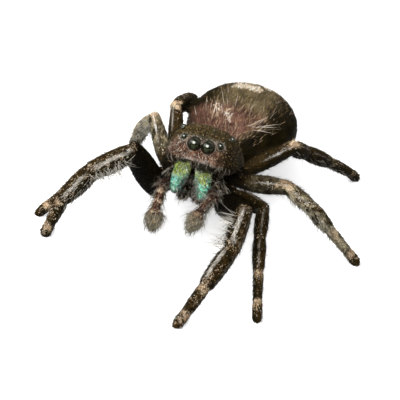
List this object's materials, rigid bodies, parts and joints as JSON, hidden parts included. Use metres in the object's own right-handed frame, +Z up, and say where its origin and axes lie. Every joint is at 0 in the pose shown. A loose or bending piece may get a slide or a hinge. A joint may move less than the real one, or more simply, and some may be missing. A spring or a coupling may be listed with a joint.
{
  "type": "jumping spider",
  "caption": "Life-size still model of a hairy dark jumping spider standing on all its feet, with large forward eyes, shining green jaws and an oval abdomen; for display and scenes.",
  "frame": {"origin": "middle of the animal's box, on the floor under its feet", "axes": "+Z up; the animal faces -Y, so its length runs along Y; its own left side is +X"},
  "size_m": [0.0146, 0.019, 0.0058],
  "materials": {
    "carapace": "dark brown skin under short flat maroon, olive and gold scales",
    "underside": "dark brown skin under sparse short hair",
    "abdomen": "dark brown skin under maroon and black pile with cream guard hairs and pale spots",
    "leg": "dark brown skin with grey stripes, gold scales, cream knee patches and pale fringes",
    "palp": "brown skin under long grey and white hair",
    "chelicera": "iridescent scales, yellow-green above and blue-green below",
    "eye": "black glossy lens"
  },
  "bodies": {
    "root": {"carapace": "carapace", "sternum_coxae": "underside", "eye_main_left": "eye", "eye_main_right": "eye", "eye_side_left": "eye", "eye_side_right": "eye", "eye_small_left": "eye", "eye_small_right": "eye", "eye_rear_left": "eye", "eye_rear_right": "eye", "chelicera_left": "chelicera", "palp_left_arm": "palp", "palp_left_hand": "palp", "chelicera_right": "chelicera", "palp_right_arm": "palp", "palp_right_hand": "palp", "leg_left_1_femur": "leg", "leg_left_1_patella": "leg", "leg_left_1_tibia": "leg", "leg_left_1_metatarsus": "leg", "leg_left_1_tarsus": "leg", "leg_left_2_femur": "leg", "leg_left_2_patella": "leg", "leg_left_2_tibia": "leg", "leg_left_2_metatarsus": "leg", "leg_left_2_tarsus": "leg", "leg_left_3_femur": "leg", "leg_left_3_patella": "leg", "leg_left_3_tibia": "leg", "leg_left_3_metatarsus": "leg", "leg_left_3_tarsus": "leg", "leg_left_4_femur": "leg", "leg_left_4_patella": "leg", "leg_left_4_tibia": "leg", "leg_left_4_metatarsus": "leg", "leg_left_4_tarsus": "leg", "leg_right_1_femur": "leg", "leg_right_1_patella": "leg", "leg_right_1_tibia": "leg", "leg_right_1_metatarsus": "leg", "leg_right_1_tarsus": "leg", "leg_right_2_femur": "leg", "leg_right_2_patella": "leg", "leg_right_2_tibia": "leg", "leg_right_2_metatarsus": "leg", "leg_right_2_tarsus": "leg", "leg_right_3_femur": "leg", "leg_right_3_patella": "leg", "leg_right_3_tibia": "leg", "leg_right_3_metatarsus": "leg", "leg_right_3_tarsus": "leg", "leg_right_4_femur": "leg", "leg_right_4_patella": "leg", "leg_right_4_tibia": "leg", "leg_right_4_metatarsus": "leg", "leg_right_4_tarsus": "leg", "abdomen": "abdomen", "spinnerets": "underside"}
  },
  "joints": []
}
